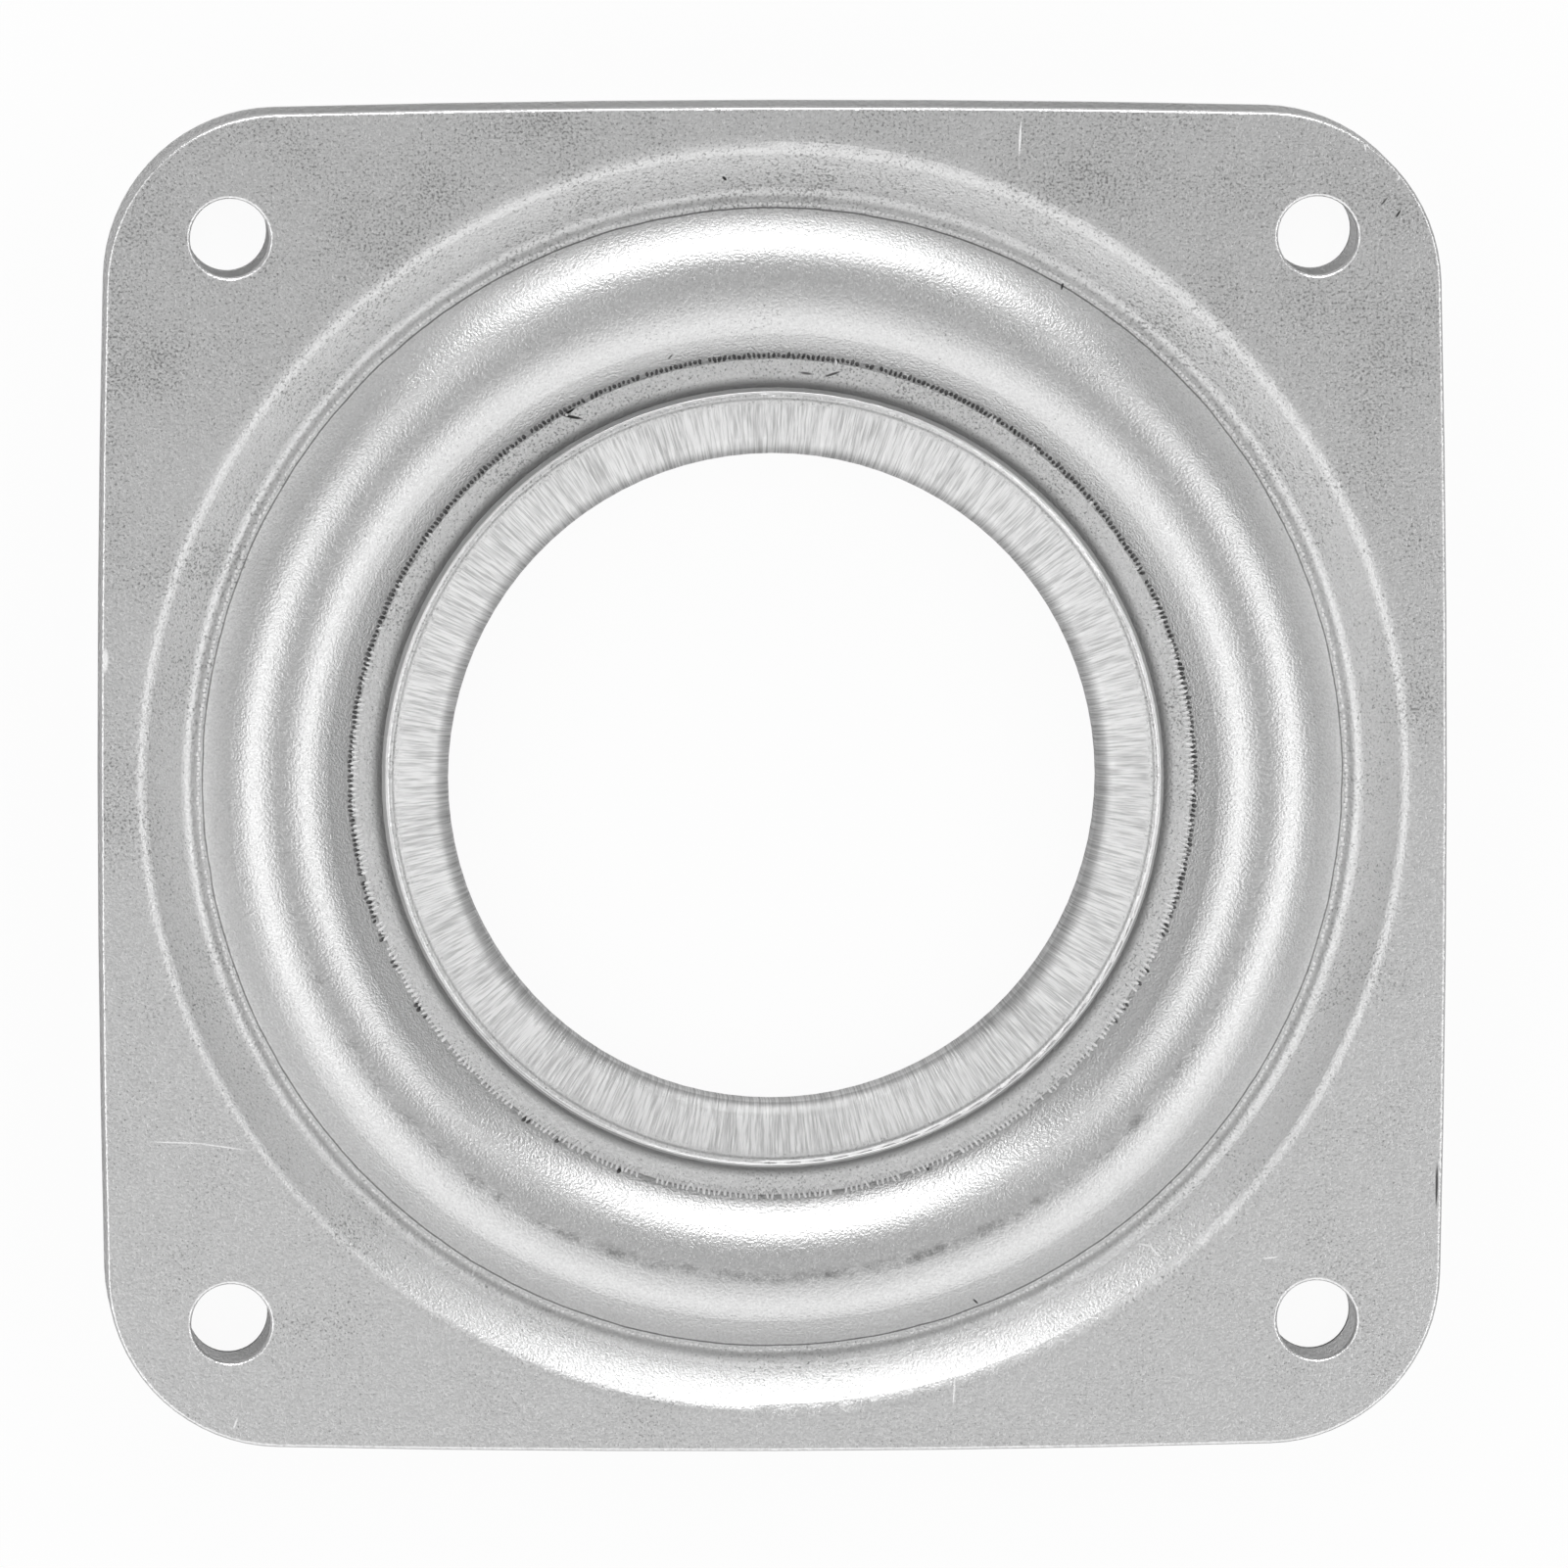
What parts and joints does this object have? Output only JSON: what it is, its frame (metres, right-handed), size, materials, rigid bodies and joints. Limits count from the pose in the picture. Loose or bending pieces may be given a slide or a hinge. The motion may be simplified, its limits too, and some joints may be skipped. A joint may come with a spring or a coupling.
{
  "type": "lazy susan bearing",
  "caption": "Square turntable bearing of two pressed steel plates that turn on a ring of loose balls, with screw holes in the corners and an open centre.",
  "frame": {"origin": "on the turning axis, level with the lower plate's mounting face", "axes": "+Z along the turning axis, out of the upper plate's mounting face; +X and +Y square to the plates' sides, with +Y towards the top of the picture"},
  "size_m": [0.0762, 0.0762, 0.008],
  "materials": {
    "galvanised_steel": "zinc-coated cold-rolled sheet, dull with a fine grain, ironed smooth at the ball race",
    "ball_steel": "polished bearing ball"
  },
  "bodies": {
    "base": {"lower_plate": "galvanised_steel"},
    "turntable": {"upper_plate": "galvanised_steel"},
    "ball_ring": {"ball_01": "ball_steel", "ball_02": "ball_steel", "ball_03": "ball_steel", "ball_04": "ball_steel", "ball_05": "ball_steel", "ball_06": "ball_steel", "ball_07": "ball_steel", "ball_08": "ball_steel", "ball_09": "ball_steel", "ball_10": "ball_steel", "ball_11": "ball_steel", "ball_12": "ball_steel", "ball_13": "ball_steel", "ball_14": "ball_steel", "ball_15": "ball_steel", "ball_16": "ball_steel", "ball_17": "ball_steel", "ball_18": "ball_steel", "ball_19": "ball_steel", "ball_20": "ball_steel", "ball_21": "ball_steel", "ball_22": "ball_steel", "ball_23": "ball_steel", "ball_24": "ball_steel", "ball_25": "ball_steel", "ball_26": "ball_steel", "ball_27": "ball_steel", "ball_28": "ball_steel"}
  },
  "joints": [
    {"name": "swivel", "type": "hinge", "parent": "base", "child": "turntable", "pos_m": [0, 0, 0], "axis": [0, 0, 1], "continuous": true},
    {"name": "ball_orbit", "type": "hinge", "parent": "base", "child": "ball_ring", "pos_m": [0, 0, 0], "axis": [0, 0, 1], "continuous": true}
  ],
  "couplings": [
    {"joint": "ball_orbit", "follows": "swivel", "ratio": 0.5}
  ]
}
